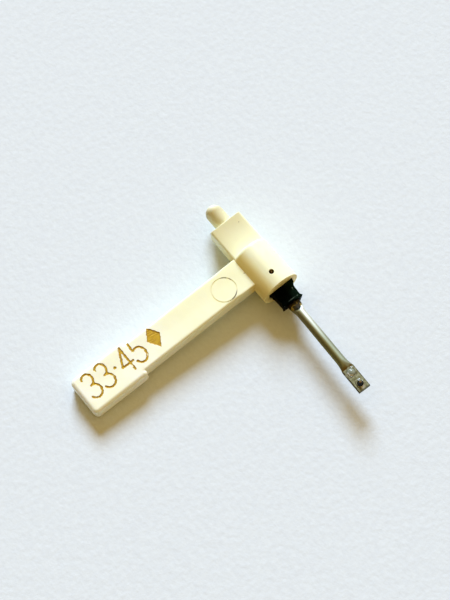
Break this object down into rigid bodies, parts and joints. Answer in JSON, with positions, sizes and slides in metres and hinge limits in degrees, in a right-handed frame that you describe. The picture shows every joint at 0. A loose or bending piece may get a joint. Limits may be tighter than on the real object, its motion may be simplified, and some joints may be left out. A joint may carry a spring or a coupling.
{
  "type": "turntable stylus",
  "caption": "Turn-over stylus: plastic finger lever on a round boss with a rear pivot pin, and a rubber-held cantilever with a jewel tip on each face, swapped by half a turn.",
  "frame": {"origin": "on the turning axis, where the pivot pin leaves the detent block", "axes": "+X along the turning axis towards the tips, -Y along the finger lever, +Z out of the fine-groove side"},
  "size_m": [0.0197, 0.0194, 0.0034],
  "materials": {
    "cream_plastic": "satin moulded",
    "black_rubber": "smooth",
    "brass": "dull drawn wire",
    "aluminium": "drawn, slightly dull",
    "diamond": "ground and polished",
    "sapphire": "ground and polished"
  },
  "bodies": {
    "lever": {"lever_body": "cream_plastic", "retaining_pin": "brass"},
    "bush": {"rubber_bush": "black_rubber"},
    "cantilever": {"cantilever_tube": "aluminium", "diamond_tip": "diamond", "sapphire_tip": "sapphire"}
  },
  "joints": [
    {"name": "lateral_sway", "type": "hinge", "parent": "lever", "child": "bush", "pos_m": [0.00591, 0, 0], "axis": [0, 0, 1], "range_deg": [-2.5, 2.5], "stiffness_Nm_per_rad": 0.0236},
    {"name": "vertical_dip", "type": "hinge", "parent": "bush", "child": "cantilever", "pos_m": [0.00778, 0, 0], "axis": [0, 1, 0], "range_deg": [-4, 4], "stiffness_Nm_per_rad": 0.0162, "deforming": ["rubber_bush"]}
  ]
}
